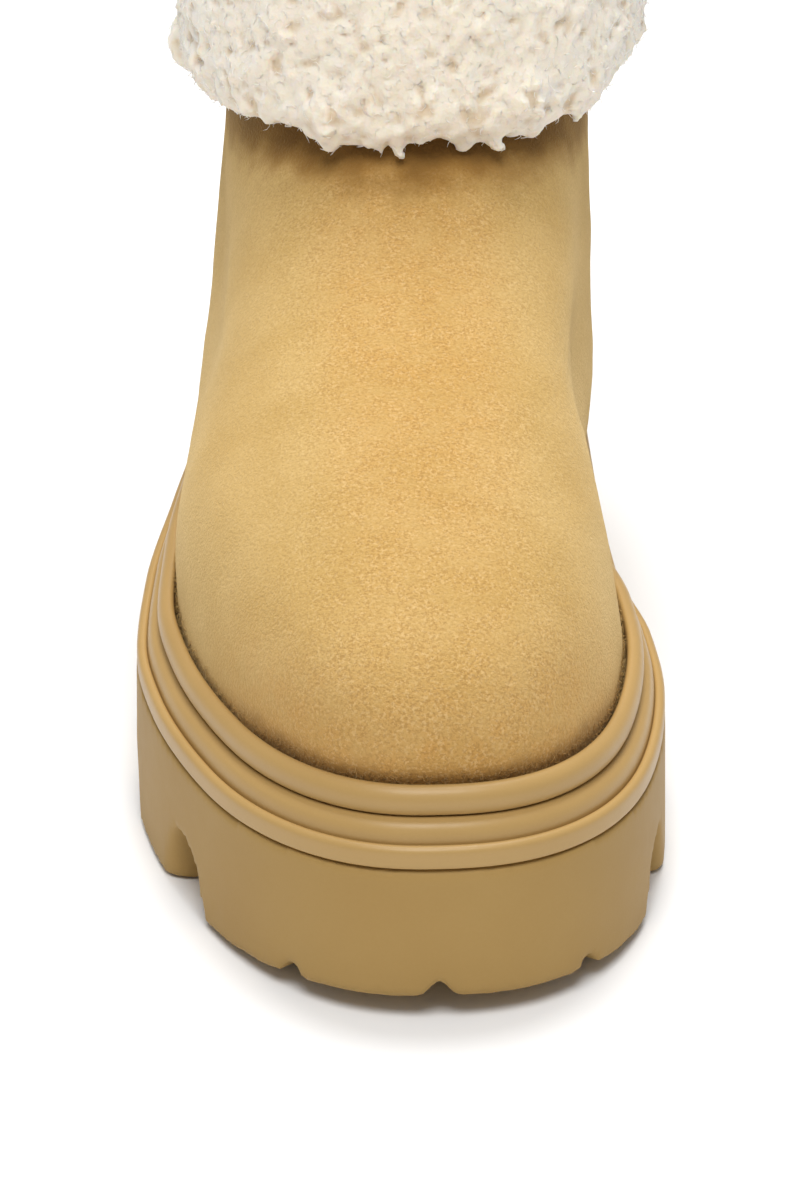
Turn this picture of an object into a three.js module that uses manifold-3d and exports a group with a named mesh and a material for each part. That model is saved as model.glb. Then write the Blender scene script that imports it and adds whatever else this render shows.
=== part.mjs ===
import * as THREE from "three";
import { mergeVertices } from "three/addons/utils/BufferGeometryUtils.js";
import Module from "manifold-3d";

// A right-foot pull-on boot: suede upper, turned-down shearling cuff, lugged platform sole.
// Millimetres. The toe points to -Y, the inner side of the foot to +X, the floor is z = 0.

const wasm = await Module();
wasm.setup();

// Outsole and midsole
const SOLE_LENGTH = 286;
const BALL_WIDTH = 117;
const HEEL_HEIGHT = 54;
const FOREFOOT_HEIGHT = 36;
const TOE_SPRING = 5.2;
const HEEL_BEVEL = 1.5;
const BALL_PLACE = 0.68;
const HEEL_DRIFT = 2.9;
const TOE_DRIFT = 2.3;
const TOE_ROUND_LENGTH = 100;
const TOE_FULLNESS = 2.36;
const HEEL_ROUND_LENGTH = 46;
const HEEL_FULLNESS = 2.3;
const SOLE_FLARE = 0.9;
const SOLE_EDGE_ROUND = 1.4;
const BAND_HEIGHT = 5;
const BAND_TOP_WIDTH = 2.3;
const BEAD_WIDTH = 3.4;
const BEAD_HEIGHT = 3.9;
const CREASE_DEPTH = 0.8;
const BAND_LINE = 0.5;
const BAND_EDGE = 1.2;

// Lugs
const NOTCH_LENGTH = 20;
const NOTCH_HEIGHT = 15.5;
const NOTCH_DEPTH = 13;
const LUG_CORNER = 4;
const CUT_BEYOND = 6;
const GROOVE_WIDTH = 8;
const GROOVE_HEIGHT = 5;
const TOE_VEE_WIDTH = 7;
const TOE_VEE_HEIGHT = 4;
const TOE_VEE_LENGTH = 16;
const TOE_VEE_TURN = 0.417;
const ARCH_LENGTH = 54;
const ARCH_HEIGHT = 12;
const ARCH_MIDDLE = 0.445;

// Welt, insole and upper
const WELT_WIDTH = 3.8;
const WELT_HEIGHT = 6.3;
const INSOLE_THICKNESS = 5;
const WALL = 2.2;
const CLEARANCE = 0.3;
const COLLAR_HEIGHT = 180;
const COLLAR_BACK_DROP = 4;
const SHAFT_WIDTH = 84;
const SHAFT_DEPTH = 110;
const SHAFT_LEAN = 8.8;
const SHAFT_FULLNESS = 2.15;

// Shearling cuff
const CUFF_PILE = 12.4;
const CUFF_DROP = 47.5;
const CUFF_TILT = 10;
const CUFF_RISE = 8;
const CUFF_LIP_DEPTH = 18;
const CUFF_LIP_PILE = 7.4;
const CUFF_WAVE = 1.1;
const CUFF_HEM = 3;
const LOCK_SIZE = 6.6;
const LOCKS_ROUND = 16;
const LOCK_LEVELS = [0.13, 0.41, 0.69];
const LOCK_SCATTER = 0.03;
const LOCK_SPREAD = 0.1;

// Points round a ring, and the small steps over which slopes are measured
const AROUND = 52;
const NORMAL_STEP = 0.065;
const RISE_STEP = 0.01;

// Half widths of the outsole as shares of half the ball width, heel to toe
const SOLE_ROWS = [
  { along: 0, lateral: 0.73, medial: 0.78 },
  { along: 0.15, lateral: 0.735, medial: 0.81 },
  { along: 0.3, lateral: 0.76, medial: 0.825 },
  { along: 0.45, lateral: 0.868, medial: 0.825 },
  { along: 0.57, lateral: 0.97, medial: 0.852 },
  { along: 0.66, lateral: 1, medial: 0.944 },
  { along: 0.74, lateral: 0.968, medial: 0.965 },
  { along: 0.86, lateral: 0.9, medial: 0.954 },
  { along: 1, lateral: 0.86, medial: 0.95 },
];

// Top of the sole: share of the heel's extra height, and of the toe spring
const TOP_ROWS = [
  { along: 0, heel: 1, spring: 0 },
  { along: 0.2, heel: 0.86, spring: 0 },
  { along: 0.45, heel: 0.59, spring: 0 },
  { along: 0.7, heel: 0.09, spring: 0 },
  { along: 0.85, heel: 0, spring: 0 },
  { along: 1, heel: 0, spring: 0.5 },
];

// Underside: share of the toe spring and of the heel's bevel
const UNDERSIDE_ROWS = [
  { along: 0, spring: 0, bevel: 1 },
  { along: 0.05, spring: 0, bevel: 0 },
  { along: 0.72, spring: 0, bevel: 0 },
  { along: 0.85, spring: 0.15, bevel: 0 },
  { along: 1, spring: 1, bevel: 0 },
];

// The ledge beside the upper narrows behind the ball
const LEDGE_ROWS = [
  { along: 0, width: 0.6 },
  { along: 0.42, width: 0.6 },
  { along: 0.62, width: 1 },
  { along: 1, width: 1 },
];

// The outsole's rounded lower edge, as shares of the edge's radius
const EDGE_ROWS = [
  { inset: 1, up: 0 },
  { inset: 0.25, up: 0.35 },
  { inset: 0, up: 1.3 },
];

// Its wall above: share of the way up to the midsole, and of the flare
const FLARE_ROWS = [
  { up: 0.5, flare: 0.45 },
  { up: 1, flare: 0.85 },
];

// The midsole's bead: share of its width from the band inwards, and of its height
const BEAD_ROWS = [
  { inside: 0.12, up: 0.3 },
  { inside: 0.3, up: 0.75 },
  { inside: 0.6, up: 1 },
];

// The welt's half-round section: shares of its width outwards and of its height
const WELT_ROWS = [
  { out: 0.76, up: 0 },
  { out: 0.94, up: 0.16 },
  { out: 1, up: 0.4 },
  { out: 0.96, up: 0.64 },
  { out: 0.78, up: 0.85 },
  { out: 0.4, up: 0.98 },
  { out: 0.1, up: 1 },
  { out: 0, up: 0.9 },
  { out: 0, up: 0 },
];

// The insole's side: share of its height, and how far its top edge draws in
const INSOLE_ROWS = [
  { up: 0, inset: 0 },
  { up: 0.75, inset: 0 },
  { up: 1, inset: 1.2 },
];

// Side notches between the lugs: where the rear wall lies along each side
const NOTCHES = [
  { side: "lateral", along: 0.79 },
  { side: "lateral", along: 0.625 },
  { side: "medial", along: 0.802 },
  { side: "medial", along: 0.636 },
];

// One notch from floor to apex, as shares of its length, height and depth
const NOTCH_ROWS = [
  { up: 0, rear: 0, front: 1, deep: 1 },
  { up: 0.3, rear: 0.01, front: 0.9, deep: 1 },
  { up: 0.62, rear: 0.05, front: 0.8, deep: 0.92 },
  { up: 0.84, rear: 0.11, front: 0.66, deep: 0.75 },
  { up: 0.96, rear: 0.18, front: 0.48, deep: 0.5 },
  { up: 1, rear: 0.24, front: 0.36, deep: 0.32 },
];

// The upper's middle line from its feather line (0) to its collar (1).
// forward: the ring's front on its way from toe tip to collar; frontUp and backUp: heights;
// backShift: share of the shaft's depth
const PROFILE_ROWS = [
  { along: 0, forward: 0, frontUp: 0, backUp: 0, backShift: 0 },
  { along: 0.05, forward: -0.005, frontUp: 0.038, backUp: 0.022, backShift: 0.008 },
  { along: 0.1, forward: 0.004, frontUp: 0.084, backUp: 0.045, backShift: 0.012 },
  { along: 0.15, forward: 0.025, frontUp: 0.13, backUp: 0.067, backShift: 0.013 },
  { along: 0.2, forward: 0.061, frontUp: 0.172, backUp: 0.09, backShift: 0.01 },
  { along: 0.26, forward: 0.122, frontUp: 0.214, backUp: 0.117, backShift: 0.004 },
  { along: 0.33, forward: 0.21, frontUp: 0.256, backUp: 0.152, backShift: -0.004 },
  { along: 0.41, forward: 0.33, frontUp: 0.304, backUp: 0.202, backShift: -0.014 },
  { along: 0.49, forward: 0.463, frontUp: 0.355, backUp: 0.256, backShift: -0.024 },
  { along: 0.57, forward: 0.61, frontUp: 0.412, backUp: 0.318, backShift: -0.032 },
  { along: 0.64, forward: 0.737, frontUp: 0.466, backUp: 0.381, backShift: -0.036 },
  { along: 0.7, forward: 0.84, frontUp: 0.522, backUp: 0.448, backShift: -0.036 },
  { along: 0.76, forward: 0.917, frontUp: 0.59, backUp: 0.525, backShift: -0.034 },
  { along: 0.82, forward: 0.964, frontUp: 0.68, backUp: 0.623, backShift: -0.028 },
  { along: 0.88, forward: 0.986, frontUp: 0.779, backUp: 0.74, backShift: -0.02 },
  { along: 0.94, forward: 0.997, frontUp: 0.885, backUp: 0.865, backShift: -0.012 },
  { along: 1, forward: 1, frontUp: 1, backUp: 1, backShift: -0.006 },
];

// The shaft's part in each ring over the same way. shaft: how far a ring has turned into the
// shaft's oval; lean and flare: the oval's lean and its extra width
const SHAFT_ROWS = [
  { along: 0, shaft: 0, lean: 0.6, flare: 0.086 },
  { along: 0.2, shaft: 0.02, lean: 0.6, flare: 0.086 },
  { along: 0.33, shaft: 0.14, lean: 0.67, flare: 0.082 },
  { along: 0.49, shaft: 0.43, lean: 0.75, flare: 0.072 },
  { along: 0.64, shaft: 0.75, lean: 0.8, flare: 0.045 },
  { along: 0.76, shaft: 0.95, lean: 0.87, flare: 0.014 },
  { along: 0.86, shaft: 1, lean: 0.96, flare: 0 },
  { along: 1, shaft: 1, lean: 1, flare: 0 },
];

// How far each side stands out over the waist and heel (swell) and draws in over the ball (slim)
const SIDE_ROWS = [
  { along: 0, medialSwell: 0, lateralSwell: 0, medialSlim: 0, lateralSlim: 0 },
  { along: 0.05, medialSwell: 0.11, lateralSwell: 0.07, medialSlim: 0.01, lateralSlim: 0 },
  { along: 0.1, medialSwell: 0.15, lateralSwell: 0.1, medialSlim: 0.03, lateralSlim: 0 },
  { along: 0.2, medialSwell: 0.175, lateralSwell: 0.11, medialSlim: 0.07, lateralSlim: 0.04 },
  { along: 0.33, medialSwell: 0.175, lateralSwell: 0.11, medialSlim: 0.105, lateralSlim: 0.095 },
  { along: 0.49, medialSwell: 0.17, lateralSwell: 0.1, medialSlim: 0.13, lateralSlim: 0.14 },
  { along: 0.64, medialSwell: 0.17, lateralSwell: 0.1, medialSlim: 0.14, lateralSlim: 0.15 },
  { along: 1, medialSwell: 0.17, lateralSwell: 0.1, medialSlim: 0.14, lateralSlim: 0.15 },
];

// Where the swell fades out and the slim sets in on each side, from heel (0) to toe (1)
const SIDE_REACH = {
  medial: { swellFrom: 0.32, swellTo: 0.7, slimFrom: 0.42, slimTo: 0.7 },
  lateral: { swellFrom: 0.33, swellTo: 0.5, slimFrom: 0.33, slimTo: 0.5 },
};

// Rises over which the foot's plan frees itself from the feather line's, over which the sole's
// slope fades out of the rings, and over which the wall leaves the upright
const PLAN_BLEND = 0.12;
const SLOPE_BLEND = 0.3;
const UPRIGHT_BLEND = 0.1;
// The foot's ends are rounder than the sole's by this share of their lengths
const FOOT_ROUND = 0.9;

// The rises at which the upper's outer and inner skins have a ring
const OUTER_RISES = [0, 0.03, 0.06, 0.1, 0.14, 0.18, 0.22, 0.27, 0.32, 0.38,
  0.44, 0.5, 0.56, 0.62, 0.68, 0.74, 0.8, 0.86, 0.93, 1];
const INNER_RISES = [0, 0.05, 0.1, 0.16, 0.22, 0.3, 0.38, 0.46, 0.54, 0.62, 0.7, 0.78, 0.88, 1];

// Section of the arch's void and of a cross groove: shares of half the width and of the height
const ARCH_SECTION = [
  { side: 1, up: 0.35 },
  { side: 0.82, up: 0.78 },
  { side: 0.5, up: 1 },
];
const GROOVE_SECTION = [
  { side: 1, up: 0.6 },
  { side: 0.5, up: 1 },
];

// Cross-section of the cuff's outer flap, lower edge to crown: out as a share of the pile
const FLAP_ROWS = [
  { up: 0, out: 0.46 },
  { up: 0.05, out: 0.76 },
  { up: 0.17, out: 0.93 },
  { up: 0.36, out: 1 },
  { up: 0.56, out: 0.97 },
  { up: 0.76, out: 0.9 },
  { up: 0.91, out: 0.7 },
  { up: 0.985, out: 0.34 },
];

// The cuff's lip inside the collar, crown to lower edge: shares of its depth and of its pile
const LIP_ROWS = [
  { down: 0, inside: 0.12 },
  { down: 0.1, inside: 0.72 },
  { down: 0.34, inside: 1 },
  { down: 0.85, inside: 1 },
  { down: 1, inside: 0.62 },
];

// The narrow channel between the cuff and the shaft, collar (1) to hem (0)
const CHANNEL_SHARES = [1, 0.72, 0.45, 0.2, 0];

const colours = {
  suede: new THREE.MeshStandardMaterial({ color: 0xd7af6f, roughness: 0.95, metalness: 0 }),
  rubber: new THREE.MeshStandardMaterial({ color: 0xac8d5c, roughness: 0.6, metalness: 0 }),
  rubberLight: new THREE.MeshStandardMaterial({ color: 0xc09e6c, roughness: 0.55, metalness: 0 }),
  wool: new THREE.MeshStandardMaterial({ color: 0xebdecb, roughness: 1, metalness: 0 }),
};

// A smooth curve without overshoot through one column of a table
function curve(rows, column, at) {
  const last = rows.length - 1;
  const place = Math.min(Math.max(at, rows[0].along), rows[last].along);
  let first = 0;
  while (first < last - 1 && place > rows[first + 1].along) first += 1;
  const rate = (i) => (rows[i + 1][column] - rows[i][column]) / (rows[i + 1].along - rows[i].along);
  const slope = (i) => {
    if (i === 0) return 0;
    if (i === last) return rate(last - 1);
    const before = rate(i - 1);
    const after = rate(i);
    return before * after <= 0 ? 0 : (2 * before * after) / (before + after);
  };
  const span = rows[first + 1].along - rows[first].along;
  const u = (place - rows[first].along) / span;
  const start = rows[first][column] * (1 + 2 * u) + slope(first) * span * u;
  const end = rows[first + 1][column] * (3 - 2 * u) - slope(first + 1) * span * (1 - u);
  return start * (1 - u) * (1 - u) + end * u * u;
}

function roundEnd(share, fullness) {
  const near = Math.min(Math.max(share, 0), 1);
  return Math.pow(1 - Math.pow(1 - near, fullness), 1 / fullness);
}

// The sole's outline: turn 0 at the toe tip, a quarter turn on the inner side, half at the heel
function outlinePoint(turn) {
  const along = (1 + Math.cos(turn)) / 2;
  const inner = Math.sin(turn) >= 0;
  const share = curve(SOLE_ROWS, inner ? "medial" : "lateral", along);
  const toe = roundEnd(((1 - along) * SOLE_LENGTH) / TOE_ROUND_LENGTH, TOE_FULLNESS);
  const heel = roundEnd((along * SOLE_LENGTH) / HEEL_ROUND_LENGTH, HEEL_FULLNESS);
  const half = (BALL_WIDTH / 2) * share * toe * heel;
  return { x: (inner ? half : -half) + drift(along), y: SOLE_LENGTH * (0.5 - along), along };
}

// Heel and toe both lie a little to the inner side of the ball
function drift(along) {
  const toHeel = Math.max(BALL_PLACE - along, 0) / BALL_PLACE;
  const toToe = Math.max(along - BALL_PLACE, 0) / (1 - BALL_PLACE);
  return HEEL_DRIFT * Math.pow(toHeel, 1.5) + TOE_DRIFT * Math.pow(toToe, 1.5);
}

function outlineNormal(turn) {
  const before = outlinePoint(turn - NORMAL_STEP);
  const after = outlinePoint(turn + NORMAL_STEP);
  return new THREE.Vector2(after.y - before.y, before.x - after.x).normalize();
}

function edgePoint(turn, inset) {
  const point = outlinePoint(turn);
  const outward = outlineNormal(turn);
  return { x: point.x - outward.x * inset, y: point.y - outward.y * inset, along: point.along };
}

const soleTop = (along) => FOREFOOT_HEIGHT
  + (HEEL_HEIGHT - FOREFOOT_HEIGHT) * curve(TOP_ROWS, "heel", along)
  + TOE_SPRING * curve(TOP_ROWS, "spring", along);
const underside = (along) => TOE_SPRING * curve(UNDERSIDE_ROWS, "spring", along)
  + HEEL_BEVEL * curve(UNDERSIDE_ROWS, "bevel", along);
const plateTop = (along) => soleTop(along) + BEAD_HEIGHT;
const weltTop = (along) => plateTop(along) + CLEARANCE + WELT_HEIGHT;

const bandInset = SOLE_FLARE + BAND_TOP_WIDTH;
const ledgeInset = (depth, along) => bandInset + depth * curve(LEDGE_ROWS, "width", along);
const featherDepth = BEAD_WIDTH + WELT_WIDTH - 1;
const upperInset = (along) => ledgeInset(featherDepth, along) + CLEARANCE;

const turns = Array.from({ length: AROUND }, (_, k) => (k / AROUND) * 2 * Math.PI);

// A level ring that follows the sole's outline: inset and height are functions of place
function soleRing(inset, height) {
  return turns.map((turn) => {
    const along = outlinePoint(turn).along;
    const point = edgePoint(turn, inset(along));
    return new THREE.Vector3(point.x, point.y, height(along));
  });
}

function skinRings(rings, closed) {
  const count = rings[0].length;
  const faces = [];
  const last = closed ? rings.length : rings.length - 1;
  for (let j = 0; j < last; j += 1) {
    const low = j * count;
    const high = ((j + 1) % rings.length) * count;
    for (let k = 0; k < count; k += 1) {
      const next = (k + 1) % count;
      faces.push(low + k, low + next, high + next, low + k, high + next, high + k);
    }
  }
  return faces;
}

// Closes a shoe-shaped ring with rungs from its inner to its outer side
function rungs(offset, count, up) {
  const faces = [];
  const put = (a, b, c) => {
    if (up) faces.push(offset + a, offset + b, offset + c);
    else faces.push(offset + a, offset + c, offset + b);
  };
  for (let k = 0; k < count / 2; k += 1) {
    const across = (count - k) % count;
    const beyond = count - k - 1;
    if (k + 1 !== beyond) put(k, k + 1, beyond);
    if (k !== across) put(k, beyond, across);
  }
  return faces;
}

function geometryFrom(points, faces) {
  const geometry = new THREE.BufferGeometry();
  const flat = points.flatMap((point) => [point.x, point.y, point.z]);
  geometry.setAttribute("position", new THREE.Float32BufferAttribute(flat, 3));
  geometry.setIndex(faces);
  return geometry;
}

function stackedSolid(rings) {
  const count = rings[0].length;
  const faces = skinRings(rings, false);
  faces.push(...rungs(0, count, false), ...rungs((rings.length - 1) * count, count, true));
  return geometryFrom(rings.flat(), faces);
}

function loopedSolid(rings) {
  return geometryFrom(rings.flat(), skinRings(rings, true));
}

function toSolid(geometry) {
  const bare = new THREE.BufferGeometry();
  bare.setAttribute("position", geometry.getAttribute("position").clone());
  if (geometry.index) bare.setIndex(geometry.index.clone());
  const merged = mergeVertices(bare, 1e-4);
  return new wasm.Manifold(new wasm.Mesh({
    numProp: 3,
    vertProperties: new Float32Array(merged.getAttribute("position").array),
    triVerts: new Uint32Array(merged.index.array),
  }));
}

function fromSolid(solid) {
  const mesh = solid.getMesh();
  const geometry = new THREE.BufferGeometry();
  geometry.setAttribute("position", new THREE.BufferAttribute(new Float32Array(mesh.vertProperties), 3));
  geometry.setIndex(new THREE.BufferAttribute(new Uint32Array(mesh.triVerts), 1));
  return geometry;
}

// The place of a notch's rear wall on the outline
const turnOf = (notch) => Math.acos(2 * notch.along - 1) * (notch.side === "medial" ? 1 : -1);

// The void between two lugs, lofted from below the floor up to its apex.
// On each level it has a straight front wall and a rounded rear corner.
function notchVoid(notch) {
  const turn = turnOf(notch);
  const corner = outlinePoint(turn);
  const outward = notch.side === "medial" ? 1 : -1;
  const diagonal = 1 - Math.SQRT1_2;
  const levels = [{ ...NOTCH_ROWS[0], up: -0.2 }, ...NOTCH_ROWS];
  const rings = levels.map((row) => {
    const rear = row.rear * NOTCH_LENGTH;
    const front = row.front * NOTCH_LENGTH;
    const round = LUG_CORNER * (1 - row.up * Math.SQRT1_2);
    const deep = row.deep * NOTCH_DEPTH;
    const plan = [[front, -CUT_BEYOND], [front, deep], [rear, deep], [rear, round],
      [rear - round * diagonal, round * diagonal], [rear - round, 0], [rear - round, -CUT_BEYOND]];
    const height = row.up * NOTCH_HEIGHT;
    const ring = plan.map(([ahead, inside]) => new THREE.Vector3(
      corner.x - outward * (inside - ahead * slopeBeside(turn)),
      corner.y - ahead,
      height,
    ));
    return outward > 0 ? ring.reverse() : ring;
  });
  const count = rings[0].length;
  const faces = skinRings(rings, false);
  const contour = rings[0].map((point) => new THREE.Vector2(point.x, point.y));
  const flat = THREE.ShapeUtils.triangulateShape(contour, []);
  const top = (rings.length - 1) * count;
  flat.forEach(([a, b, c]) => {
    faces.push(a, c, b);
    faces.push(top + a, top + b, top + c);
  });
  return toSolid(geometryFrom(rings.flat(), faces));
}

// How much the outline moves outwards for each millimetre forwards
function slopeBeside(turn) {
  const outward = outlineNormal(turn);
  return outward.y / Math.abs(outward.x);
}

function prism(contour, depth) {
  const shape = new THREE.Shape(contour.map(([x, y]) => new THREE.Vector2(x, y)));
  return new THREE.ExtrudeGeometry(shape, { depth, bevelEnabled: false, steps: 1 });
}

// A vault-shaped void, open below the floor: one half of its section is given
function vault(section, width, height, length) {
  const half = width / 2;
  const rising = [[half, -CUT_BEYOND], ...section.map((row) => [row.side * half, row.up * height])];
  const falling = rising.map(([x, y]) => [-x, y]).reverse();
  const geometry = prism([...rising, ...falling], length);
  return geometry.rotateX(Math.PI / 2);
}

// A shallow groove across the underside joins each pair of notches
function grooveVoid(pair) {
  const [outer, inner] = pair.map((notch) => {
    const corner = outlinePoint(turnOf(notch));
    return new THREE.Vector2(corner.x, corner.y - NOTCH_LENGTH / 2);
  });
  const reach = inner.clone().sub(outer);
  const margin = NOTCH_DEPTH / 2;
  const geometry = vault(GROOVE_SECTION, GROOVE_WIDTH, GROOVE_HEIGHT, reach.length() - 2 * margin);
  geometry.rotateZ(Math.atan2(reach.y, reach.x) + Math.PI / 2);
  const start = outer.clone().add(reach.clone().normalize().multiplyScalar(margin));
  geometry.translate(start.x, start.y, 0);
  return toSolid(geometry);
}

// A small vee cut in the toe's lower edge, running back under the toe
function toeVeeVoid(turn) {
  const edge = outlinePoint(turn);
  const outward = outlineNormal(turn);
  const lift = underside(edge.along);
  const section = [[-TOE_VEE_WIDTH, lift - TOE_VEE_HEIGHT], [TOE_VEE_WIDTH, lift - TOE_VEE_HEIGHT],
    [0, lift + TOE_VEE_HEIGHT]];
  const geometry = prism(section, TOE_VEE_LENGTH + CUT_BEYOND);
  geometry.rotateX(Math.PI / 2);
  geometry.rotateZ(Math.atan2(outward.y, outward.x) + Math.PI / 2);
  geometry.translate(edge.x - outward.x * TOE_VEE_LENGTH, edge.y - outward.y * TOE_VEE_LENGTH, 0);
  return toSolid(geometry);
}

// The raised waist between heel block and forefoot
function archVoid() {
  const length = BALL_WIDTH + 2 * CUT_BEYOND;
  const geometry = vault(ARCH_SECTION, ARCH_LENGTH, ARCH_HEIGHT, length);
  geometry.rotateZ(Math.PI / 2);
  geometry.translate(-length / 2, SOLE_LENGTH * (0.5 - ARCH_MIDDLE), 0);
  return toSolid(geometry);
}

function outsole() {
  const joint = (along) => soleTop(along) - BAND_HEIGHT;
  const edge = EDGE_ROWS.map((row) => soleRing(
    () => SOLE_EDGE_ROUND * row.inset,
    (along) => underside(along) + SOLE_EDGE_ROUND * row.up,
  ));
  const wall = FLARE_ROWS.map((row) => soleRing(
    () => SOLE_FLARE * row.flare,
    (along) => underside(along) + (joint(along) - underside(along)) * row.up,
  ));
  let body = toSolid(stackedSolid([...edge, ...wall]));
  NOTCHES.forEach((notch) => {
    body = body.subtract(notchVoid(notch));
  });
  [[NOTCHES[0], NOTCHES[2]], [NOTCHES[1], NOTCHES[3]]].forEach((pair) => {
    body = body.subtract(grooveVoid(pair));
  });
  [-TOE_VEE_TURN, 0, TOE_VEE_TURN].forEach((turn) => {
    body = body.subtract(toeVeeVoid(turn));
  });
  return fromSolid(body.subtract(archVoid()));
}

// A band with a fine line at its foot and a soft upper edge, then a crease and a bead
function midsole() {
  const above = (rise) => (along) => soleTop(along) + rise;
  const foot = CLEARANCE - BAND_HEIGHT;
  const band = [
    soleRing(() => SOLE_FLARE + BAND_LINE, above(foot)),
    soleRing(() => SOLE_FLARE, above(foot + BAND_LINE)),
    soleRing(() => SOLE_FLARE, above(-BAND_EDGE)),
    soleRing(() => SOLE_FLARE + BAND_LINE, above(BAND_LINE - BAND_EDGE)),
    soleRing(() => bandInset - BAND_LINE, above(0)),
    soleRing((along) => ledgeInset(0, along), above(-CREASE_DEPTH)),
  ];
  const bead = BEAD_ROWS.map((row) => soleRing(
    (along) => ledgeInset(BEAD_WIDTH * row.inside, along),
    above(BEAD_HEIGHT * row.up),
  ));
  return stackedSolid([...band, ...bead]);
}

// The half-round rand between the suede and the midsole's ledge
function welt() {
  return loopedSolid(WELT_ROWS.map((row) => soleRing(
    (along) => ledgeInset(featherDepth - row.out * WELT_WIDTH, along),
    (along) => plateTop(along) + CLEARANCE + row.up * WELT_HEIGHT,
  )));
}

function insole() {
  return stackedSolid(INSOLE_ROWS.map((row) => soleRing(
    (along) => upperInset(along) + WALL + CLEARANCE + row.inset,
    (along) => plateTop(along) + CLEARANCE + row.up * INSOLE_THICKNESS,
  )));
}

const smooth = (from, to, at) => THREE.MathUtils.smoothstep(at, from, to);
const mix = THREE.MathUtils.lerp;

// Half the width of the foot's plan at a place along the boot, on one side
function footHalf(side, along) {
  const half = (BALL_WIDTH / 2) * curve(SOLE_ROWS, side, along) - upperInset(along);
  return side === "medial" ? half + drift(along) : drift(along) - half;
}

// A point of the upper's outside: turn as on the sole, rise from feather line to collar
function upperPoint(turn, rise) {
  const profile = (column) => curve(PROFILE_ROWS, column, rise);
  const oval = (column) => curve(SHAFT_ROWS, column, rise);
  const sides = (column) => curve(SIDE_ROWS, column, rise);
  const base = edgePoint(turn, upperInset(outlinePoint(turn).along));
  const side = base.x > 0 ? "medial" : "lateral";
  const toeY = edgePoint(0, upperInset(1)).y;
  const heelY = edgePoint(Math.PI, upperInset(0)).y;
  const share = (heelY - base.y) / (heelY - toeY);
  const collarBack = heelY + curve(PROFILE_ROWS, "backShift", 1) * SHAFT_DEPTH;
  const back = heelY + profile("backShift") * SHAFT_DEPTH;
  const front = toeY + profile("forward") * (collarBack - SHAFT_DEPTH - toeY);
  const y = back - share * (back - front);

  const along = 0.5 - y / SOLE_LENGTH;
  const ends = roundEnd((y - front) / (TOE_ROUND_LENGTH * FOOT_ROUND), TOE_FULLNESS)
    * roundEnd((back - y) / (HEEL_ROUND_LENGTH * FOOT_ROUND), HEEL_FULLNESS);
  const ownX = footHalf(side, along) * ends;
  const flatX = mix(base.x, ownX, smooth(0, PLAN_BLEND, rise));
  const reach = SIDE_REACH[side];
  const swell = sides(`${side}Swell`) * (1 - smooth(reach.swellFrom, reach.swellTo, share));
  const slim = sides(`${side}Slim`) * smooth(reach.slimFrom, reach.slimTo, share);
  const footX = flatX * (1 + swell) * (1 - slim);

  const power = 2 / SHAFT_FULLNESS;
  const bend = (value) => Math.sign(value) * Math.pow(Math.abs(value), power);
  const half = (SHAFT_WIDTH / 2) * (1 + oval("flare"));
  const shaftX = SHAFT_LEAN * oval("lean") + bend(Math.sin(turn)) * half;
  const shaftY = (back + front) / 2 - bend(Math.cos(turn)) * ((back - front) / 2);
  const planX = mix(footX, shaftX, oval("shaft"));
  const planY = mix(y, shaftY, oval("shaft"));

  const toeZ = weltTop(1);
  const heelZ = weltTop(0);
  const frontZ = mix(toeZ, COLLAR_HEIGHT, profile("frontUp"));
  const backZ = mix(heelZ, COLLAR_HEIGHT - COLLAR_BACK_DROP, profile("backUp"));
  const sag = weltTop(share) - mix(heelZ, toeZ, share);
  const level = THREE.MathUtils.clamp((back - planY) / (back - front), 0, 1);
  const z = mix(backZ, frontZ, level) + sag * (1 - smooth(0, SLOPE_BLEND, rise));
  return new THREE.Vector3(planX, planY, z);
}

// Outward normal of the upper; at the feather line the wall stands upright
function upperNormal(turn, rise) {
  const above = upperPoint(turn, Math.min(rise + RISE_STEP, 1));
  const up = above.sub(upperPoint(turn, Math.max(rise - RISE_STEP, 0)));
  const round = upperPoint(turn + NORMAL_STEP, rise).sub(upperPoint(turn - NORMAL_STEP, rise));
  const normal = round.cross(up).normalize();
  normal.z *= smooth(0, UPRIGHT_BLEND, rise);
  return normal.normalize();
}

// A ring of the upper's own surface, moved in or out along its normal
function upperRing(rise, offset) {
  return turns.map((turn) => upperPoint(turn, rise).addScaledVector(upperNormal(turn, rise), offset));
}

function upper() {
  const foot = (offset) => turns.map((turn) => {
    const along = outlinePoint(turn).along;
    const point = edgePoint(turn, upperInset(along) - offset);
    return new THREE.Vector3(point.x, point.y, plateTop(along) + CLEARANCE);
  });
  const outside = OUTER_RISES.map((rise) => upperRing(rise, 0));
  const inside = [...INNER_RISES].reverse().map((rise) => upperRing(rise, -WALL));
  return loopedSolid([foot(0), ...outside, ...inside, foot(-WALL)]);
}

// The rise at which the upper reaches a height, on the shaft
function riseAt(turn, height) {
  let low = 0.4;
  let high = 1;
  for (let i = 0; i < 24; i += 1) {
    const middle = (low + high) / 2;
    if (upperPoint(turn, middle).z < height) low = middle;
    else high = middle;
  }
  return (low + high) / 2;
}

// A point beside the shaft: out from its surface, at any height, also above the collar
function besideShaft(turn, height, out) {
  const rise = riseAt(turn, Math.min(height, collarLevel(turn)));
  const point = upperPoint(turn, rise);
  const normal = upperNormal(turn, rise);
  const flat = new THREE.Vector3(normal.x, normal.y, 0).normalize();
  return point.addScaledVector(flat, out).setZ(height);
}

const collarLevel = (turn) => upperPoint(turn, 1).z;
const crownLevel = (turn) => collarLevel(turn) + CLEARANCE + CUFF_RISE;
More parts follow.
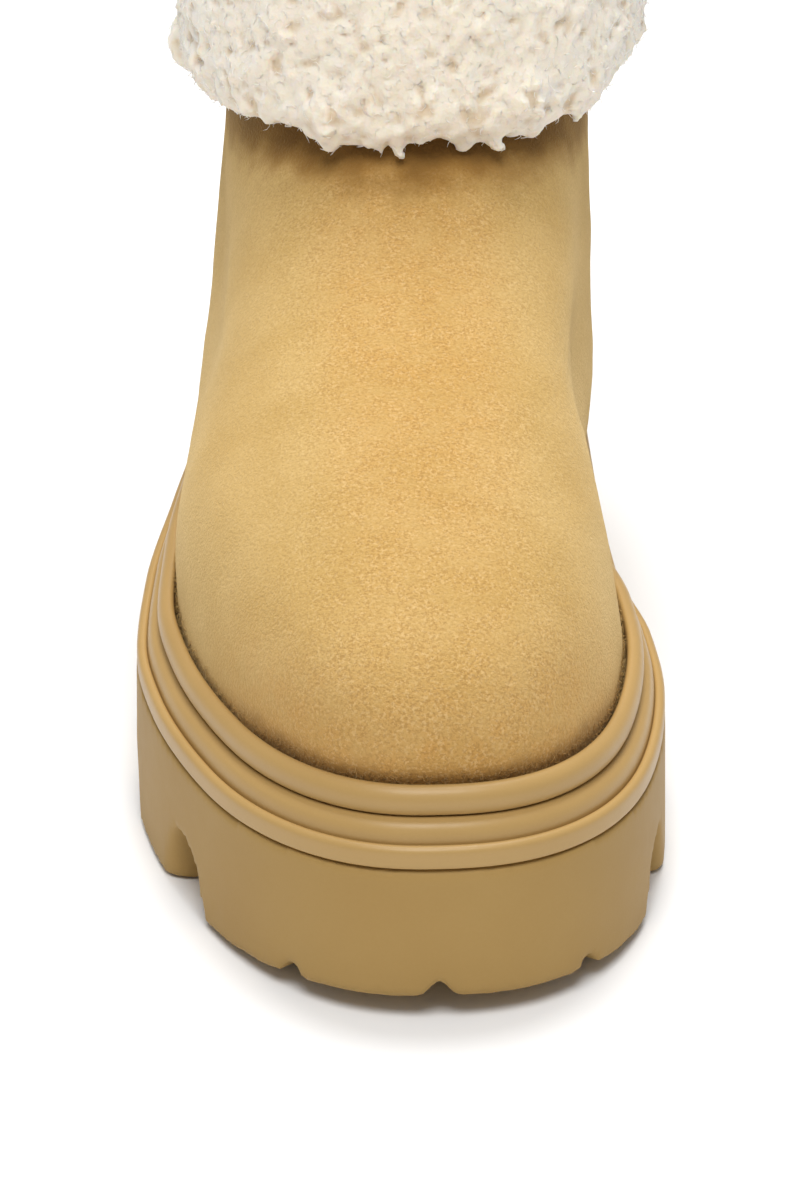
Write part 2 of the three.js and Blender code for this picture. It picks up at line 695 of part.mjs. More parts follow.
// The lower edge drops towards the heel
const hemLevel = (turn) => COLLAR_HEIGHT - CUFF_DROP - CUFF_TILT * (1 - Math.cos(turn)) / 2;
const unevenness = (turn, up) => (CUFF_WAVE / 2)
  * (Math.sin(turn * 7 + up * 9) + Math.sin(turn * 12 - up * 14 + 1));

function cuffRing(height, out) {
  return turns.map((turn) => besideShaft(turn, height(turn), out(turn)));
}

function cuffBody() {
  const flap = FLAP_ROWS.map((row) => cuffRing(
    (turn) => mix(hemLevel(turn) + unevenness(turn, 0), crownLevel(turn), row.up),
    (turn) => row.out * CUFF_PILE + (row.up > 0 ? unevenness(turn, row.up) : 0),
  ));
  const lipLevel = (turn) => collarLevel(turn) - CUFF_LIP_DEPTH;
  const lip = LIP_ROWS.map((row) => cuffRing(
    (turn) => mix(crownLevel(turn), lipLevel(turn), row.down),
    () => -row.inside * (WALL + CUFF_LIP_PILE),
  ));
  const collarTop = (turn) => collarLevel(turn) + CLEARANCE;
  const inside = [(turn) => lipLevel(turn) + CUFF_LIP_PILE / 4, collarTop].map((level) => cuffRing(
    level,
    () => -(WALL + CLEARANCE),
  ));
  const channel = CHANNEL_SHARES.map((share) => cuffRing(
    (turn) => mix(hemLevel(turn) + CUFF_HEM, collarTop(turn), share),
    () => (share < 1 ? 3 * CLEARANCE : CLEARANCE),
  ));
  return toSolid(loopedSolid([...flap, ...lip, ...inside, ...channel]));
}

// One curled lock of wool, half sunk in the pile
function lock(turn, up, size, twist) {
  const height = mix(hemLevel(turn), crownLevel(turn), up);
  const geometry = new THREE.DodecahedronGeometry(size, 0);
  geometry.rotateZ(twist);
  geometry.rotateX(twist / 2);
  const centre = besideShaft(turn, height, size + 3 * CLEARANCE);
  geometry.translate(centre.x, centre.y, centre.z);
  return toSolid(geometry);
}

function cuff() {
  let body = cuffBody();
  LOCK_LEVELS.forEach((level, row) => {
    for (let k = 0; k < LOCKS_ROUND; k += 1) {
      const turn = ((k + (row % 2) / 2) / LOCKS_ROUND) * 2 * Math.PI;
      const up = level + LOCK_SCATTER * Math.sin(k * 2.4 + row);
      const size = LOCK_SIZE * (1 + LOCK_SPREAD * Math.sin(k * 1.7 + row * 2.1));
      body = body.add(lock(turn, up, size, k * 1.3 + row));
    }
  });
  return fromSolid(body);
}

const boot = new THREE.Group();

function addPiece(name, geometry, material) {
  geometry.computeVertexNormals();
  const mesh = new THREE.Mesh(geometry, material);
  mesh.name = name;
  boot.add(mesh);
}

addPiece("outsole", outsole(), colours.rubber);
addPiece("midsole", midsole(), colours.rubberLight);
addPiece("welt", welt(), colours.rubberLight);
addPiece("insole", insole(), colours.wool);
addPiece("upper", upper(), colours.suede);
addPiece("cuff", cuff(), colours.wool);

// The origin lies on the floor, below the middle of the whole boot
const box = new THREE.Box3().setFromObject(boot);
const middle = box.getCenter(new THREE.Vector3());
boot.position.set(-middle.x, -middle.y, -box.min.z);

export default boot;
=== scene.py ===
import math

import bmesh
import bpy
from mathutils import Euler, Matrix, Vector, noise
from mathutils.bvhtree import BVHTree


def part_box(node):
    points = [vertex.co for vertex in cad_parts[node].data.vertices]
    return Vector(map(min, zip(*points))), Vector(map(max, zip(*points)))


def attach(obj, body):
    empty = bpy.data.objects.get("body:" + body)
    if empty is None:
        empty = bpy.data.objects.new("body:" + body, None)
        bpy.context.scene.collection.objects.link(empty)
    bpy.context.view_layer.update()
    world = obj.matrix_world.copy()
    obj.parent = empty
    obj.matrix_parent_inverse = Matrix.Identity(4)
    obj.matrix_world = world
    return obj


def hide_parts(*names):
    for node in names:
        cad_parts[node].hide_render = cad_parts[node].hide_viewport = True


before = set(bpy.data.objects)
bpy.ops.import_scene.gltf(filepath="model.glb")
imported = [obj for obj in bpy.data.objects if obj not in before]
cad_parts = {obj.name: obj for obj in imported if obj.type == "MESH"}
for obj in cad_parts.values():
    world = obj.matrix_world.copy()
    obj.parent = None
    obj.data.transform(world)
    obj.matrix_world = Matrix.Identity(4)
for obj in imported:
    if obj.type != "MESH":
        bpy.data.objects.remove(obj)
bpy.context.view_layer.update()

scene = bpy.context.scene
MM = 0.001
TURN = 2 * math.pi

# A right-foot pull-on boot: suede upper, turned-down shearling cuff, lugged platform sole.
# The toe points to -Y, the inner side of the foot to +X. Sizes are in millimetres, and MM or
# place() turns them into the model's metres. Angles are in radians unless a comment says degrees.

# Sole, its outline and the layers on it
SOLE_LENGTH = 286
BALL_WIDTH = 117
HEEL_HEIGHT = 54
FOREFOOT_HEIGHT = 36
TOE_SPRING = 5.2
HEEL_BEVEL = 1.5
BALL_PLACE = 0.68
HEEL_DRIFT = 2.9
TOE_DRIFT = 2.3
DRIFT_BEND = 1.5
TOE_ROUND_LENGTH = 100
TOE_FULLNESS = 2.36
HEEL_ROUND_LENGTH = 46
HEEL_FULLNESS = 2.3
SOLE_FLARE = 0.9
BAND_HEIGHT = 5
BAND_TOP_WIDTH = 2.3
BEAD_WIDTH = 3.4
BEAD_HEIGHT = 3.9
WELT_WIDTH = 3.8
WELT_HEIGHT = 6.3
CLEARANCE = 0.3

# Notches, grooves, toe cuts and the arch of the tread
NOTCH_LENGTH = 20
NOTCH_HEIGHT = 15.5
NOTCH_DEPTH = 13
LUG_CORNER = 4
CUT_BEYOND = 6
GROOVE_WIDTH = 8
GROOVE_HEIGHT = 5
TOE_VEE_WIDTH = 7
TOE_VEE_HEIGHT = 4
TOE_VEE_LENGTH = 16
TOE_VEE_TURN = 0.417
ARCH_LENGTH = 54
ARCH_HEIGHT = 12
ARCH_MIDDLE = 0.445

# Points round the outline, and the turn to each side over which its direction is measured
AROUND = 240
NORMAL_STEP = 0.065

# Half widths of the outsole as shares of half the ball width, heel to toe
SOLE_ROWS = [
    {"along": 0, "lateral": 0.73, "medial": 0.78},
    {"along": 0.15, "lateral": 0.735, "medial": 0.81},
    {"along": 0.3, "lateral": 0.76, "medial": 0.825},
    {"along": 0.45, "lateral": 0.868, "medial": 0.825},
    {"along": 0.57, "lateral": 0.97, "medial": 0.852},
    {"along": 0.66, "lateral": 1, "medial": 0.944},
    {"along": 0.74, "lateral": 0.968, "medial": 0.965},
    {"along": 0.86, "lateral": 0.9, "medial": 0.954},
    {"along": 1, "lateral": 0.86, "medial": 0.95},
]

# Top of the sole: share of the heel's extra height, and of the toe spring
TOP_ROWS = [
    {"along": 0, "heel": 1, "spring": 0},
    {"along": 0.2, "heel": 0.86, "spring": 0},
    {"along": 0.45, "heel": 0.59, "spring": 0},
    {"along": 0.7, "heel": 0.09, "spring": 0},
    {"along": 0.85, "heel": 0, "spring": 0},
    {"along": 1, "heel": 0, "spring": 0.5},
]

# Underside: share of the toe spring and of the heel's bevel
UNDERSIDE_ROWS = [
    {"along": 0, "spring": 0, "bevel": 1},
    {"along": 0.05, "spring": 0, "bevel": 0},
    {"along": 0.72, "spring": 0, "bevel": 0},
    {"along": 0.85, "spring": 0.15, "bevel": 0},
    {"along": 1, "spring": 1, "bevel": 0},
]

# The ledge beside the upper narrows behind the ball
LEDGE_ROWS = [
    {"along": 0, "width": 0.6},
    {"along": 0.42, "width": 0.6},
    {"along": 0.62, "width": 1},
    {"along": 1, "width": 1},
]

# Side notches between the lugs: where the rear wall lies along each side
NOTCHES = [
    {"side": "lateral", "along": 0.79},
    {"side": "lateral", "along": 0.625},
    {"side": "medial", "along": 0.802},
    {"side": "medial", "along": 0.636},
]

# One notch from floor to apex, as shares of its length, height and depth
NOTCH_ROWS = [
    {"along": 0, "rear": 0, "front": 1, "deep": 1},
    {"along": 0.3, "rear": 0.01, "front": 0.9, "deep": 1},
    {"along": 0.62, "rear": 0.05, "front": 0.8, "deep": 0.92},
    {"along": 0.84, "rear": 0.11, "front": 0.66, "deep": 0.75},
    {"along": 0.96, "rear": 0.18, "front": 0.48, "deep": 0.5},
    {"along": 1, "rear": 0.24, "front": 0.36, "deep": 0.32},
]
NOTCH_LEVELS = 14

# The outsole's floor edge: inset and height above the underside
EDGE_ROWS = [
    {"inset": 0.6, "up": 0},
    {"inset": 0.1, "up": 0.4},
]

# Its wall: inset, and share of the way from WALL_START above the underside up to the midsole
WALL_START = 1.2
WALL_ROWS = [
    {"inset": 0, "up": 0},
    {"inset": 0.2, "up": 0.3},
    {"inset": 0.5, "up": 0.65},
    {"inset": 0.76, "up": 1},
]

# The midsole's side: inset from the outline and height above the sole's top
BAND_ROWS = [
    {"inset": 3.2, "up": -4.7},
    {"inset": 1.5, "up": -4.7},
    {"inset": 1.1, "up": -4.55},
    {"inset": 0.94, "up": -4.25},
    {"inset": 0.9, "up": -3.8},
    {"inset": 0.9, "up": -2},
    {"inset": 0.93, "up": -1.2},
    {"inset": 1.15, "up": -0.6},
    {"inset": 1.6, "up": -0.2},
    {"inset": 2.2, "up": 0},
    {"inset": 2.75, "up": -0.08},
    {"inset": 3.05, "up": -0.4},
]

# The bead above it, inwards from the band's edge; its inner flank rises to meet the welt
BEAD_ROWS = [
    {"inside": 0, "up": -0.8},
    {"inside": 0.04, "up": 0.3},
    {"inside": 0.2, "up": 1.5},
    {"inside": 0.6, "up": 2.6},
    {"inside": 1.15, "up": 3.4},
    {"inside": 1.9, "up": 3.85},
    {"inside": 2.35, "up": 3.95},
    {"inside": 2.75, "up": 4.1},
    {"inside": 3.1, "up": 4.25},
    {"inside": 4.2, "up": 4.1},
    {"inside": 4.4, "up": 3.4},
]

# The welt's half-round section: shares of its width outwards and of its height
WELT_ROWS = [
    {"out": 0.55, "up": 0},
    {"out": 0.82, "up": 0.06},
    {"out": 0.97, "up": 0.22},
    {"out": 1.03, "up": 0.42},
    {"out": 1, "up": 0.63},
    {"out": 0.86, "up": 0.82},
    {"out": 0.62, "up": 0.95},
    {"out": 0.35, "up": 1},
    {"out": 0.12, "up": 0.97},
    {"out": 0.02, "up": 0.85},
    {"out": 0.02, "up": 0.02},
]

# Sections of the arch's void and of a cross groove: shares of half the width and of the height
ARCH_SECTION = [
    {"side": 1, "up": 0.35},
    {"side": 0.93, "up": 0.6},
    {"side": 0.8, "up": 0.82},
    {"side": 0.62, "up": 0.95},
    {"side": 0.4, "up": 1},
]
GROOVE_SECTION = [
    {"side": 1, "up": 0.6},
    {"side": 0.8, "up": 0.85},
    {"side": 0.45, "up": 1},
]


def curve(rows, column, at):
    """A smooth curve without overshoot through one column of a table."""
    last = len(rows) - 1
    here = min(max(at, rows[0]["along"]), rows[last]["along"])
    first = 0
    while first < last - 1 and here > rows[first + 1]["along"]:
        first += 1

    def rate(i):
        return (rows[i + 1][column] - rows[i][column]) / (rows[i + 1]["along"] - rows[i]["along"])

    def slope(i):
        if i == 0:
            return 0
        if i == last:
            return rate(last - 1)
        before, after = rate(i - 1), rate(i)
        return 0 if before * after <= 0 else 2 * before * after / (before + after)

    span = rows[first + 1]["along"] - rows[first]["along"]
    u = (here - rows[first]["along"]) / span
    start = rows[first][column] * (1 + 2 * u) + slope(first) * span * u
    end = rows[first + 1][column] * (3 - 2 * u) - slope(first + 1) * span * (1 - u)
    return start * (1 - u) ** 2 + end * u * u


def smooth(low, high, at):
    """0 at low and 1 at high, with soft ends; low may be the larger one."""
    u = min(max((at - low) / (high - low), 0), 1)
    return u * u * (3 - 2 * u)


def mix(a, b, share):
    return a + (b - a) * share


def round_end(share, fullness):
    """From 0 at the tip to 1 where the round end is over; 2 gives a quarter circle."""
    inner = min(max(share, 0), 1)
    return (1 - (1 - inner) ** fullness) ** (1 / fullness)


def drift(along):
    """How far the sole's middle line bends towards the inner side."""
    to_heel = max(BALL_PLACE - along, 0) / BALL_PLACE
    to_toe = max(along - BALL_PLACE, 0) / (1 - BALL_PLACE)
    return HEEL_DRIFT * to_heel ** DRIFT_BEND + TOE_DRIFT * to_toe ** DRIFT_BEND


def outline_point(turn):
    """The sole's outline: turn 0 at the toe tip, a quarter on the inner side, half at the heel."""
    along = (1 + math.cos(turn)) / 2
    inner = math.sin(turn) >= 0
    share = curve(SOLE_ROWS, "medial" if inner else "lateral", along)
    toe = round_end((1 - along) * SOLE_LENGTH / TOE_ROUND_LENGTH, TOE_FULLNESS)
    heel = round_end(along * SOLE_LENGTH / HEEL_ROUND_LENGTH, HEEL_FULLNESS)
    half = BALL_WIDTH / 2 * share * toe * heel
    return (half if inner else -half) + drift(along), SOLE_LENGTH * (0.5 - along), along


def outline_normal(turn):
    before = outline_point(turn - NORMAL_STEP)
    after = outline_point(turn + NORMAL_STEP)
    return Vector((after[1] - before[1], before[0] - after[0])).normalized()


def sole_top(along):
    extra = (HEEL_HEIGHT - FOREFOOT_HEIGHT) * curve(TOP_ROWS, "heel", along)
    return FOREFOOT_HEIGHT + extra + TOE_SPRING * curve(TOP_ROWS, "spring", along)


def underside(along):
    spring = TOE_SPRING * curve(UNDERSIDE_ROWS, "spring", along)
    return spring + HEEL_BEVEL * curve(UNDERSIDE_ROWS, "bevel", along)


def ledge_inset(depth, along):
    return SOLE_FLARE + BAND_TOP_WIDTH + depth * curve(LEDGE_ROWS, "width", along)


# The outline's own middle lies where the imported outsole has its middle
outline = [outline_point(k / AROUND * TURN) for k in range(AROUND)]
outline_sides = [x for x, _, _ in outline]
outsole_low, outsole_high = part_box("outsole")
outsole_middle = (outsole_low + outsole_high) / 2 / MM
SHIFT = Vector((
    outsole_middle.x - (min(outline_sides) + max(outline_sides)) / 2,
    outsole_middle.y,
    0,
))
normals = [outline_normal(k / AROUND * TURN) for k in range(AROUND)]


def place(x, y, z):
    """Turns a point of the outline's millimetres into the model's metres."""
    return (Vector((x, y, z)) + SHIFT) * MM


def sole_ring(inset, height):
    """A ring beside the sole's outline: inset and height are functions of place."""
    ring = []
    for (x, y, along), outward in zip(outline, normals):
        depth = inset(along)
        ring.append(place(x - outward.x * depth, y - outward.y * depth, height(along)))
    return ring


# Modelling

# Packed vertices that are one point, and triangles that are halves of one face
MERGE_GAP = 0.002
PAIR_ANGLE = math.radians(60)


def deselect_all():
    if bpy.context.object and bpy.context.object.mode != "OBJECT":
        bpy.ops.object.mode_set(mode="OBJECT")
    bpy.ops.object.select_all(action="DESELECT")


def pick(piece):
    deselect_all()
    piece.select_set(True)
    bpy.context.view_layer.objects.active = piece


def spot_of(point):
    """A point rounded to a thousandth of a millimetre, to find its vertex again."""
    return tuple(round(c / MM * 1000) for c in point)


def close_ends(mesh, first, last, caps):
    """Rungs across each end of a shoe shape, one face for each end, or a loop of the two ends."""
    count = len(first)
    if caps == "loop":
        for k in range(count):
            mesh.faces.new((last[k], last[(k + 1) % count], first[(k + 1) % count], first[k]))
    elif caps == "face":
        mesh.faces.new(first)
        mesh.faces.new(last)
    else:
        for ring in (first, last):
            for k in range(count // 2):
                corners = [ring[k], ring[k + 1], ring[count - k - 1], ring[-k]]
                mesh.faces.new(list(dict.fromkeys(corners)))


def loft(name, rings, caps="rungs"):
    """A circle is moved to the first ring and drawn out ring by ring; close_ends tells the caps."""
    deselect_all()
    bpy.ops.mesh.primitive_circle_add(vertices=len(rings[0]), radius=1, location=(0, 0, 0))
    piece = bpy.context.object
    piece.name = name
    piece.data.name = name
    for vertex, point in zip(piece.data.vertices, rings[0]):
        vertex.co = point
    bpy.ops.object.mode_set(mode="EDIT")
    bpy.ops.mesh.select_mode(type="VERT")
    bpy.ops.mesh.select_all(action="SELECT")
    for before, ring in zip(rings, rings[1:]):
        bpy.ops.mesh.extrude_edges_move()
        mesh = bmesh.from_edit_mesh(piece.data)
        places = {spot_of(point): k for k, point in enumerate(before)}
        for vertex in [v for v in mesh.verts if v.select]:
            vertex.co = ring[places[spot_of(vertex.co)]]
        bmesh.update_edit_mesh(piece.data)
    mesh = bmesh.from_edit_mesh(piece.data)
    mesh.verts.ensure_lookup_table()
    found = {spot_of(v.co): v for v in mesh.verts}
    first = [found[spot_of(p)] for p in rings[0]]
    last = [found[spot_of(p)] for p in rings[-1]]
    close_ends(mesh, first, last, caps)
    bmesh.update_edit_mesh(piece.data)
    bpy.ops.mesh.select_all(action="SELECT")
    bpy.ops.mesh.normals_make_consistent(inside=False)
    bpy.ops.object.mode_set(mode="OBJECT")
    return piece


def apply(piece, kind, **settings):
    """One modifier, set and applied."""
    pick(piece)
    modifier = piece.modifiers.new(kind.title(), kind)
    for key, value in settings.items():
        setattr(modifier, key, value)
    bpy.ops.object.modifier_apply(modifier=modifier.name)


def cut(piece, tool):
    apply(piece, "BOOLEAN", object=tool, operation="DIFFERENCE", solver="EXACT")
    bpy.data.objects.remove(tool, do_unlink=True)


def copy_of(node, name):
    """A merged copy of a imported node's mesh, with its triangles joined in pairs."""
    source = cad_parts[node]
    mesh = source.data.copy()
    mesh.name = name
    mesh.transform(source.matrix_world)
    mesh.materials.clear()
    piece = bpy.data.objects.new(name, mesh)
    scene.collection.objects.link(piece)
    pick(piece)
    bpy.ops.object.mode_set(mode="EDIT")
    bpy.ops.mesh.select_all(action="SELECT")
    bpy.ops.mesh.remove_doubles(threshold=MERGE_GAP * MM)
    bpy.ops.mesh.tris_convert_to_quads(face_threshold=PAIR_ANGLE, shape_threshold=PAIR_ANGLE)
    bpy.ops.object.mode_set(mode="OBJECT")
    return piece


def soften(piece, levels):
    apply(piece, "SUBSURF", levels=levels, render_levels=levels)


def melt(piece, grain, smoothing):
    """One closed skin of even quads about grain millimetres wide, then smoothed."""
    apply(piece, "REMESH", mode="VOXEL", voxel_size=grain * MM, adaptivity=0)
    apply(piece, "SMOOTH", factor=0.5, iterations=smoothing)


def displace(piece, amount):
    """Moves each vertex along its normal; amount gives the millimetres for its place."""
    vertices = piece.data.vertices
    normals_of = [vertex.normal.copy() for vertex in vertices]
    moved = [v.co + normal * amount(v.co) * MM for v, normal in zip(vertices, normals_of)]
    vertices.foreach_set("co", [c for point in moved for c in point])
    piece.data.update()


def mark(piece, name, share):
    """Stores a number from 0 to 1 for each vertex, a function of its place."""
    values = [share(vertex.co) for vertex in piece.data.vertices]
    piece.data.attributes.new(name, "FLOAT", "POINT").data.foreach_set("value", values)


def skin_of(piece):
    return BVHTree.FromObject(piece, bpy.context.evaluated_depsgraph_get())


def shade(piece, angle=None):
    """Smooth shading, but for edges sharper than an angle in degrees where one is given."""
    pick(piece)
    if angle is None:
        bpy.ops.object.shade_smooth()
    else:
        bpy.ops.object.shade_smooth_by_angle(angle=math.radians(angle))


# Shader maths


class Wire:
    """A shader socket that takes part in Python sums; each sum adds its Math node."""

    def __init__(self, finish, socket):
        self.finish = finish
        self.socket = socket

    def sum(self, operation, first, second):
        return self.finish.node("Math", {"operation": operation}, {0: first, 1: second})

    def __add__(self, other):
        return self.sum("ADD", self, other)

    def __radd__(self, other):
        return self.sum("ADD", other, self)

    def __sub__(self, other):
        return self.sum("SUBTRACT", self, other)

    def __mul__(self, other):
        return self.sum("MULTIPLY", self, other)

    def __rmul__(self, other):
        return self.sum("MULTIPLY", other, self)


class Finish:
    """One material, with its Principled shader ready."""

    def __init__(self, name, constants):
        self.material = bpy.data.materials.new(name)
        self.material.use_nodes = True
        self.tree = self.material.node_tree
        self.surface = self.tree.nodes["Principled BSDF"]
        for key, value in constants.items():
            self.surface.inputs[key].default_value = value
        self.coordinates = self.node("TexCoord", {}, {}, "Object")

    def node(self, kind, settings, inputs, output=0):
        """Any node: its type, the settings that come first, and its sockets' values or links."""
        made = self.tree.nodes.new("ShaderNode" + kind)
        for key, value in settings.items():
            setattr(made, key, value)
        for key, value in inputs.items():
            if isinstance(value, Wire):
                self.tree.links.new(value.socket, made.inputs[key])
            else:
                made.inputs[key].default_value = value
        return Wire(self, made.outputs[output])

    def set(self, key, wire):
        self.tree.links.new(wire.socket, self.surface.inputs[key])

    def noise(self, size, detail, roughness):
        """Noise from 0 to 1 whose patches are about size millimetres wide."""
        return self.node("TexNoise", {}, {
            "Vector": self.coordinates, "Scale": 1 / (size * MM),
            "Detail": detail, "Roughness": roughness,
        })

    def noises(self, rows):
        return [self.noise(**row) for row in rows.values()]

    def blend(self, share, first, second):
        return self.node("Mix", {"data_type": "RGBA"}, {0: share, 6: first, 7: second}, 2)

    def step(self, value, low, high):
        """0 at low and 1 at high, with soft ends."""
        settings = {"interpolation_type": "SMOOTHSTEP"}
        return self.node("MapRange", settings, {"Value": value, "From Min": low, "From Max": high})

    def span(self, value, row):
        """The same between two places in millimetres."""
        return self.step(value, row["from"] * MM, row["to"] * MM)

    def beside(self, x, row):
        """The same by the distance from the boot's middle line."""
        return self.step(x * x, (row["from"] * MM) ** 2, (row["to"] * MM) ** 2)

    def axes(self):
        return [self.node("SeparateXYZ", {}, {0: self.coordinates}, k) for k in range(3)]

    def bump(self, height, depth, strength):
        normal = self.node("Bump", {}, {"Height": height, "Distance": depth * MM, "Strength": strength})
        self.set("Normal", normal)


# Suede: its colours, its noise in millimetres, and where each tint and each painted shade starts and is
# full

GOLD = (0.49, 0.315, 0.106, 1)
PALE_GOLD = (0.535, 0.356, 0.134, 1)
WARM_TAN = (0.53, 0.255, 0.055, 1)
# Painted shade where the toe meets the welt: brown, then darker brown nearest the welt
RIM_SHADE_BROWN = (0.36, 0.17, 0.035, 1)
FOOT_SHADE_BROWN = (0.19, 0.085, 0.016, 1)
# Painted shade under the cuff: brown, then deep brown nearer the hem
PAINTED_SHADE_BROWN = (0.25, 0.12, 0.022, 1)
PAINTED_DEEP_SHADE_BROWN = (0.13, 0.06, 0.014, 1)
FLECK_CREAM = (0.95, 0.72, 0.4, 1)
NAP_BROWN = (0.25, 0.125, 0.03, 1)
SHEEN_GOLD = (1, 0.8, 0.45, 1)

SUEDE_NOISES = {
    "nap": {"size": 0.62, "detail": 2, "roughness": 0.65},
    "grain": {"size": 2.2, "detail": 3, "roughness": 0.65},
    "cloud": {"size": 19, "detail": 2, "roughness": 0.5},
    "brushed": {"size": 5, "detail": 3, "roughness": 0.6},
    "ragged": {"size": 9, "detail": 2, "roughness": 0.5},
    "fleck": {"size": 0.75, "detail": 2, "roughness": 0.6},
}
STRIP_BESIDE = {"from": 26.46, "to": 3.16}
STRIP_UP = {"from": 58, "to": 100}
TOE_ALONG = {"from": -70, "to": -125}
TOE_UP = {"from": 85, "to": 45}
# Where the painted shade at the welt starts and is full
RIM_ALONG = {"from": -80, "to": -120}
RIM_UP = {"from": 58, "to": 50}
FOOT_ALONG = {"from": -90, "to": -120}
FOOT_UP = {"from": 54.5, "to": 50.5}
# Where the painted shade under the cuff starts and is full
PAINTED_SHADE_UP = {"from": 125, "to": 134}
PAINTED_DEEP_SHADE_UP = {"from": 130, "to": 138}
FLECK_UP = {"from": 136, "to": 122}
NAP_BESIDE = {"from": 37.42, "to": 10}
CLOUD_RANGE = (0.3, 0.7)
BRUSHED_RANGE = (0.3, 0.6)
FLECK_RANGE = (0.5, 0.64)
NAP_RANGE = (0.52, 0.4)
STRIP_SHARE = 0.6
RIM_SHARE = 0.6
PAINTED_SHADE_SHARE = 0.8
NAP_SHARE = 0.16
NAP_MORE = 0.22
PAINTED_SHADE_LEAN = 0.1
RIM_RAGGED = 6
FOOT_RAGGED = 4
PAINTED_SHADE_RAGGED = 12


def suede_finish():
    """Gold hide, warmer on the instep and toe, with painted shade making it browner at the welt and under
    the cuff.
    """
    finish = Finish("suede", {
        "Roughness": 0.95, "Specular IOR Level": 0.12,
        "Sheen Weight": 0.32, "Sheen Roughness": 0.5, "Sheen Tint": SHEEN_GOLD,
    })
    x, y, z = finish.axes()
    nap, grain, cloud, brushed, ragged, fleck = finish.noises(SUEDE_NOISES)
    hide = finish.blend(finish.step(cloud, *CLOUD_RANGE), GOLD, PALE_GOLD)
    strip = finish.beside(x, STRIP_BESIDE) * finish.span(z, STRIP_UP)
    toe = finish.span(y, TOE_ALONG) * finish.span(z, TOE_UP)
    hide = finish.blend((strip * STRIP_SHARE + toe) * brushed, hide, WARM_TAN)
    # Painted shade along the foot of the toe, where the suede meets the welt
    rim = finish.span(z + brushed * (RIM_RAGGED * MM), RIM_UP) * finish.span(y, RIM_ALONG)
    hide = finish.blend(rim * RIM_SHARE, hide, RIM_SHADE_BROWN)
    foot = finish.span(z + brushed * (FOOT_RAGGED * MM), FOOT_UP) * finish.span(y, FOOT_ALONG)
    hide = finish.blend(foot * RIM_SHARE, hide, FOOT_SHADE_BROWN)
    # Painted shade under the cuff, browner and then darker towards the hem
    height = z + PAINTED_SHADE_LEAN * y + ragged * (PAINTED_SHADE_RAGGED * MM)
    hide = finish.blend(finish.span(height, PAINTED_SHADE_UP) * PAINTED_SHADE_SHARE, hide, PAINTED_SHADE_BROWN)
    hide = finish.blend(finish.span(height, PAINTED_DEEP_SHADE_UP) * PAINTED_SHADE_SHARE, hide, PAINTED_DEEP_SHADE_BROWN)
    more = finish.beside(x, NAP_BESIDE) * finish.step(brushed, *BRUSHED_RANGE)
    busy = NAP_SHARE + NAP_MORE * more
    pale = finish.blend(0.5, hide, FLECK_CREAM)
    flecks = finish.step(fleck, *FLECK_RANGE) * busy * finish.span(height, FLECK_UP)
    hide = finish.blend(flecks, hide, pale)
    hide = finish.blend(finish.step(nap, *NAP_RANGE) * busy, hide, NAP_BROWN)
    finish.set("Base Color", hide)
    finish.bump(nap + grain * 0.4, depth=0.35, strength=0.9)
    return finish.material


# Rubber and wool

RUBBER_NOISES = {
    "cloud": {"size": 24, "detail": 2, "roughness": 0.5},
    "speck": {"size": 0.7, "detail": 2, "roughness": 0.6},
    "polish": {"size": 5, "detail": 3, "roughness": 0.6},
    "pores": {"size": 0.5, "detail": 2, "roughness": 0.6},
    "ripple": {"size": 4, "detail": 1, "roughness": 0.5},
}
WOOL_NOISES = {
    "curl": {"size": 4.5, "detail": 3, "roughness": 0.6},
    "cloud": {"size": 22, "detail": 2, "roughness": 0.5},
    "strand": {"size": 1.1, "detail": 3, "roughness": 0.6},
}
POLISH_SWING = 0.12
WOOL_RANGE = (0.25, 0.7)
WOOL_CURL_SHARE = 0.7
WOOL_CLOUD_SHARE = 0.3
WOOL_GLOW_DEPTH = 1.5


def rubber_finish(name, low, high, roughness, shine):
    finish = Finish(name, {"Specular IOR Level": shine})
    cloud, speck, polish, pores, ripple = finish.noises(RUBBER_NOISES)
    finish.set("Base Color", finish.blend(cloud * 0.7 + speck * 0.3, low, high))
    finish.set("Roughness", roughness + POLISH_SWING * (polish - 0.5))
    finish.bump(pores + ripple, depth=0.05, strength=0.5)
    return finish.material


def wool_finish(name, deep, high, relief):
    """Wool, paler where its curls stand out and darker in the hollows between them as painted shade;
    relief is the share that the height attribute, and so this painted shade, has.
    """
    finish = Finish(name, {
        "Roughness": 0.95, "Specular IOR Level": 0.1, "Sheen Weight": 0.3, "Sheen Roughness": 0.6,
        "Subsurface Weight": 1, "Subsurface Radius": (1, 0.8, 0.55),
        "Subsurface Scale": WOOL_GLOW_DEPTH * MM,
    })
    curl, cloud, strand = finish.noises(WOOL_NOISES)
    height = finish.node("Attribute", {"attribute_name": "height"}, {}, "Fac")
    level = height * relief + curl * (WOOL_CURL_SHARE * (1 - relief)) + cloud * WOOL_CLOUD_SHARE
    finish.set("Base Color", finish.blend(finish.step(level, *WOOL_RANGE), deep, high))
    finish.bump(strand, depth=0.5, strength=0.7)
    return finish.material


SUEDE = suede_finish()
WALL_RUBBER = rubber_finish(
    "outsole_rubber", low=(0.355, 0.216, 0.069, 1), high=(0.405, 0.263, 0.093, 1),
    roughness=0.55, shine=0.15,
)
BAND_RUBBER = rubber_finish(
    "midsole_foam", low=(0.405, 0.25, 0.084, 1), high=(0.465, 0.297, 0.108, 1),
    roughness=0.4, shine=0.38,
)
# The cuff's wool is painted darker in its hollows as painted shade; the lining's and insole's wool is not
WOOL = wool_finish("wool", deep=(0.73, 0.595, 0.42, 1), high=(0.87, 0.8, 0.685, 1), relief=0.6)
WOOL_DEEP = wool_finish("wool_deep", deep=(0.8, 0.69, 0.5, 1), high=(0.92, 0.86, 0.75, 1), relief=0)


